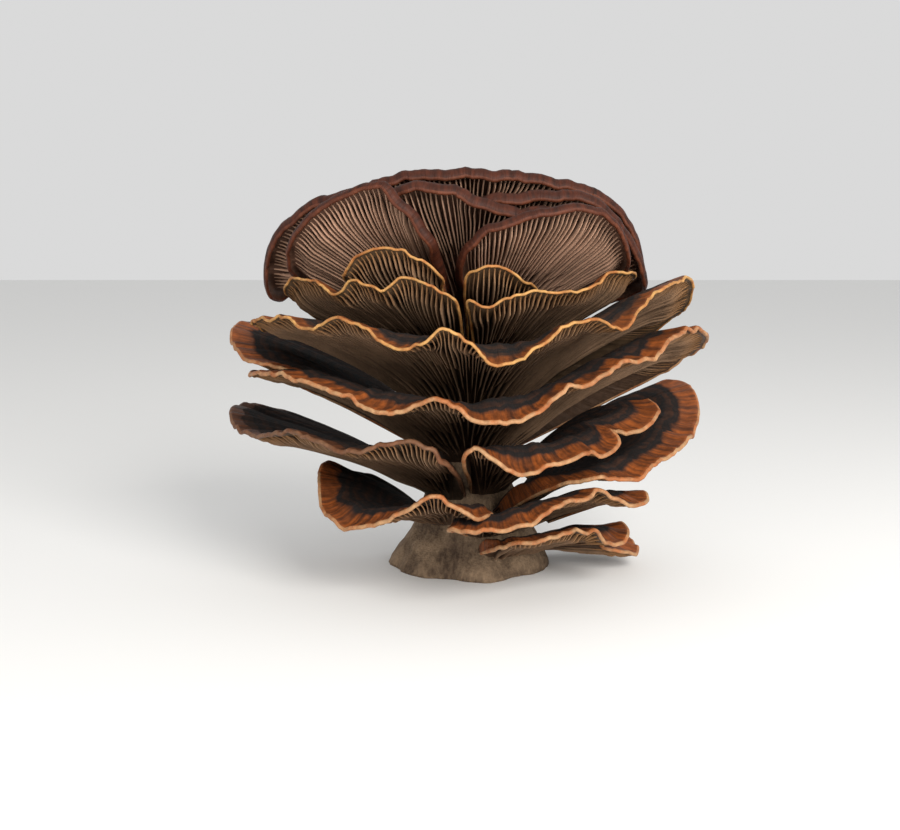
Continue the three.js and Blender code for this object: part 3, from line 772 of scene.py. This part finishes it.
grow_cap(
    "ear_left", root=(0.112, -84, -12), swell=0.25, seed=82, **ear_roll,
    margin=[
        (-88, 0.022, 0.115), (-84, 0.050, 0.132), (-77, 0.077, 0.146), (-70, 0.090, 0.156),
        (-62, 0.095, 0.167), (-53, 0.094, 0.178), (-44, 0.090, 0.187), (-35, 0.087, 0.192),
        (-27, 0.086, 0.193), (-19, 0.083, 0.182), (-13, 0.077, 0.170), (-12, 0.068, 0.161),
        (-11, 0.048, 0.144), (-11, 0.024, 0.122),
    ],
)

# ---------------------------------------------------------------------------------------------------
# Crown: three caps behind the ears that arch over the cluster, one behind the other. Dark red-brown
# rolled margins, wrinkled across, and long gills on the side that faces forwards.
# ---------------------------------------------------------------------------------------------------
crown_roll = dict(curl=125, curl_radius=0.0046, **crown_look)

grow_cap(
    "crown_middle", root=(0.120, -50, 44), swell=0.4, seed=91, **crown_roll,
    margin=[
        (-54, 0.020, 0.130), (-50, 0.038, 0.152), (-44, 0.058, 0.176), (-37, 0.068, 0.188),
        (-28, 0.067, 0.193), (-17, 0.063, 0.194), (-5, 0.060, 0.192), (6, 0.061, 0.187),
        (19, 0.064, 0.183), (30, 0.067, 0.184), (36, 0.062, 0.178), (41, 0.046, 0.158),
        (45, 0.022, 0.128),
    ],
)

grow_cap(
    "crown_right", root=(0.132, -4, 94), swell=0.45, seed=92, **crown_roll,
    margin=[
        (-2, 0.020, 0.145), (0, 0.034, 0.168), (3, 0.046, 0.184), (10, 0.053, 0.189),
        (24, 0.058, 0.190), (37, 0.065, 0.191), (48, 0.074, 0.189), (57, 0.080, 0.180),
        (64, 0.085, 0.168), (70, 0.088, 0.156), (76, 0.087, 0.149), (83, 0.074, 0.144),
        (90, 0.050, 0.139), (95, 0.022, 0.134),
    ],
)

grow_cap(
    "crown_back", root=(0.143, -110, 104), swell=0.5, seed=93, **crown_roll,
    margin=[
        (-112, 0.024, 0.142), (-104, 0.058, 0.148), (-95, 0.088, 0.146), (-88, 0.100, 0.143),
        (-81, 0.101, 0.157), (-73, 0.097, 0.172), (-63, 0.084, 0.186), (-50, 0.066, 0.194),
        (-33, 0.051, 0.200), (-10, 0.044, 0.201), (12, 0.044, 0.201), (30, 0.049, 0.199),
        (45, 0.057, 0.197), (57, 0.069, 0.192), (67, 0.078, 0.182), (75, 0.083, 0.169),
        (82, 0.085, 0.156), (90, 0.080, 0.147), (98, 0.056, 0.144), (106, 0.024, 0.142),
    ],
)

# ---------------------------------------------------------------------------------------------------
# Studio: a plain pale floor and pale surroundings, one large soft light from the upper right, a weaker
# one from the left, and the camera in front, a little above the middle of the cluster.
# ---------------------------------------------------------------------------------------------------
FLOOR_SIZE = 6.0
LOOK_AT = (-0.010, -0.020, 0.080)
CAMERA_DISTANCE = 0.62
CAMERA_TILT = 9
LENS = 49.6


def add_light(name, place, size, power, color):
    light = bpy.data.lights.new(name, "AREA")
    light.size, light.energy, light.color = size, power, color
    lamp = bpy.data.objects.new(name, light)
    lamp.location = place
    lamp.rotation_euler = (Vector(LOOK_AT) - Vector(place)).to_track_quat("-Z", "Y").to_euler()
    bpy.context.scene.collection.objects.link(lamp)


def build_studio():
    bm = bmesh.new()
    bmesh.ops.create_grid(bm, x_segments=1, y_segments=1, size=FLOOR_SIZE / 2)
    paper = bpy.data.materials.new("floor paper")
    paper.use_nodes = True
    shader = paper.node_tree.nodes["Principled BSDF"]
    shader.inputs["Base Color"].default_value = (0.82, 0.82, 0.81, 1)
    shader.inputs["Roughness"].default_value = 0.9
    new_object("floor", bm, [paper])
    world = bpy.data.worlds.new("surroundings")
    world.use_nodes = True
    world.node_tree.nodes["Background"].inputs["Color"].default_value = (1, 1, 1, 1)
    world.node_tree.nodes["Background"].inputs["Strength"].default_value = 0.7
    bpy.context.scene.world = world
    add_light("key", (0.50, -0.95, 0.60), 0.6, 16, (1.0, 0.97, 0.93))
    add_light("fill", (-0.7, -1.0, 0.15), 0.7, 5, (1.0, 0.98, 0.96))
    lens = bpy.data.cameras.new("camera")
    lens.lens = LENS
    camera = bpy.data.objects.new("camera", lens)
    tilt = radians(CAMERA_TILT)
    camera.location = Vector(LOOK_AT) + CAMERA_DISTANCE * Vector((0, -cos(tilt), sin(tilt)))
    camera.rotation_euler = (pi / 2 - tilt, 0, 0)
    bpy.context.scene.collection.objects.link(camera)
    bpy.context.scene.camera = camera
    bpy.context.scene.view_settings.view_transform = "Standard"


build_studio()
